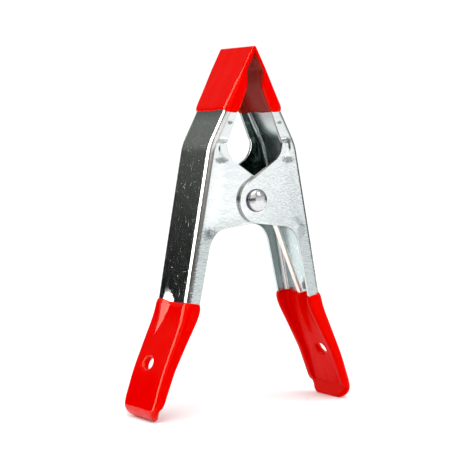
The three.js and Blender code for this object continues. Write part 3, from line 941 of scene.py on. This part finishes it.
def make_card(name, start, end, colour, strength, fade=(0.0, 1.0), radius=1.1, low=-0.3, high=1.6):
    """An upright curved panel round the object, between two directions in degrees from +X. It shows
    only in mirror-like reflections, as the softboxes and flags of a photographer's table do. Its
    strength goes from one value to another between the two heights of its fade."""
    angles = np.radians(np.linspace(start, end, max(2, int(abs(end - start) / 4) + 2)))
    points = [(radius * math.cos(t), radius * math.sin(t), z) for z in (low, high) for t in angles]
    count = len(angles)
    faces = [(i, i + 1, i + 1 + count, i + count) for i in range(count - 1)]
    mesh = bpy.data.meshes.new(name)
    mesh.from_pydata(points, [], faces)
    material = bpy.data.materials.new(name)
    material.use_nodes = True
    tree = material.node_tree
    tree.nodes.clear()
    glow = tree.nodes.new("ShaderNodeEmission")
    glow.inputs["Color"].default_value = (*colour, 1)
    height = tree.nodes.new("ShaderNodeSeparateXYZ")
    tree.links.new(tree.nodes.new("ShaderNodeTexCoord").outputs["Object"], height.inputs[0])
    grade = tree.nodes.new("ShaderNodeMapRange")
    tree.links.new(height.outputs["Z"], grade.inputs["Value"])
    for socket, value in zip(("From Min", "From Max", "To Min", "To Max"), (*fade, *strength)):
        grade.inputs[socket].default_value = value
    tree.links.new(grade.outputs[0], glow.inputs["Strength"])
    out = tree.nodes.new("ShaderNodeOutputMaterial")
    tree.links.new(glow.outputs[0], out.inputs["Surface"])
    mesh.materials.append(material)
    card = bpy.data.objects.new(name, mesh)
    scene.collection.objects.link(card)
    for ray in ("camera", "diffuse", "transmission", "volume_scatter", "shadow"):
        setattr(card, "visible_" + ray, False)


def make_studio():
    make_card("card_dark_left", 96, 137, (0.95, 1.0, 0.9), (0.004, 0.20), fade=(0.15, 0.43))
    make_card("card_white_left", 137, 184, (1, 1, 1), (9.0, 9.0))
    make_card("card_grey_left", 184, 214, (1, 0.9, 0.8), (0.10, 0.35), fade=(0.1, 0.4))
    make_card("card_brown_front", 214, 280, (1.0, 0.96, 0.9), (0.26, 1.1), fade=(0.24, 0.42))
    make_card("card_white_front", 280, 338, (0.97, 0.99, 1), (1.08, 0.55), fade=(0.10, 0.35))
    make_card("card_olive_right", 338, 388, (1.0, 1.0, 0.88), (0.12, 0.45), fade=(0.10, 0.5))
    make_card("card_white_back", 28, 96, (1, 1, 1), (0.3, 1.1), fade=(0.05, 0.35))
    make_card("card_softbox", 294, 314, (1, 1, 1), (2.5, 2.5), radius=1.0, low=0.45, high=0.95)
    world = bpy.data.worlds.new("studio")
    scene.world = world
    world.use_nodes = True
    world.node_tree.nodes["Background"].inputs["Color"].default_value = (1, 1, 1, 1)
    world.node_tree.nodes["Background"].inputs["Strength"].default_value = 1.1
    lamp = bpy.data.lights.new("top_softbox", "AREA")
    lamp.shape = "SQUARE"
    lamp.size = 1.0
    lamp.energy = 8
    light = bpy.data.objects.new("top_softbox", lamp)
    light.location = (-0.2, -0.5, 1.2)
    light.rotation_euler = (Vector((0, 0, 0.05)) - light.location).to_track_quat("-Z", "Y").to_euler()
    scene.collection.objects.link(light)


def make_camera():
    """The photograph's view: from the front left, a little above the middle of the clamp."""
    position = Vector((-220.897, -334.912, 76.045)) * MM
    right = Vector((0.83836, -0.54505, -0.00784)).normalized()
    ahead = Vector((0.54348, 0.83688, -0.06535)).normalized()
    up = right.cross(ahead)
    data = bpy.data.cameras.new("camera")
    data.sensor_width = 36
    data.lens = 113.72
    camera = bpy.data.objects.new("camera", data)
    camera.matrix_world = Matrix((
        (right.x, up.x, -ahead.x, position.x),
        (right.y, up.y, -ahead.y, position.y),
        (right.z, up.z, -ahead.z, position.z),
        (0, 0, 0, 1)))
    scene.collection.objects.link(camera)
    scene.camera = camera


def set_view():
    view = scene.view_settings
    view.view_transform = "Standard"
    view.use_curve_mapping = True
    view.curve_mapping.black_level = (BLACK_LEVEL,) * 3
    view.curve_mapping.update()


# ---- Assembly

def install(obj, body, node):
    """Lets a piece follow a body and stand for a node of the CAD."""
    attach(obj, body)
    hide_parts(node)


def make_clamp():
    zinc = zinc_material()
    vinyl = vinyl_material()
    for side, turned in (("left", True), ("right", False)):
        body = side + "_side"
        lever = make_lever(side + "_lever_sheet", zinc, turned)
        install(lever, body, side + "_lever")
        jaw = make_jaw_sleeve(side + "_jaw_dip", vinyl, turned)
        install(jaw, body, side + "_jaw_sleeve")
        handle = make_handle_sleeve(side + "_handle_dip", vinyl, turned)
        install(handle, body, side + "_handle_sleeve")
    rivet = make_rivet("rivet", rivet_material())
    settle_shading(rivet, sharp_degrees=50)
    install(rivet, "left_side", "pivot_rivet")
    steel = spring_material()
    for side, sign in (("left", -1), ("right", 1)):
        leg = make_wire(side + "_spring_leg", leg_path(sign), steel)
        install(leg, side + "_side", "torsion_spring")
    coil = make_wire("spring_coil", coil_path(), steel)
    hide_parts("torsion_spring")
    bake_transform(coil)


make_camera()
make_studio()
make_floor()
make_clamp()
set_view()
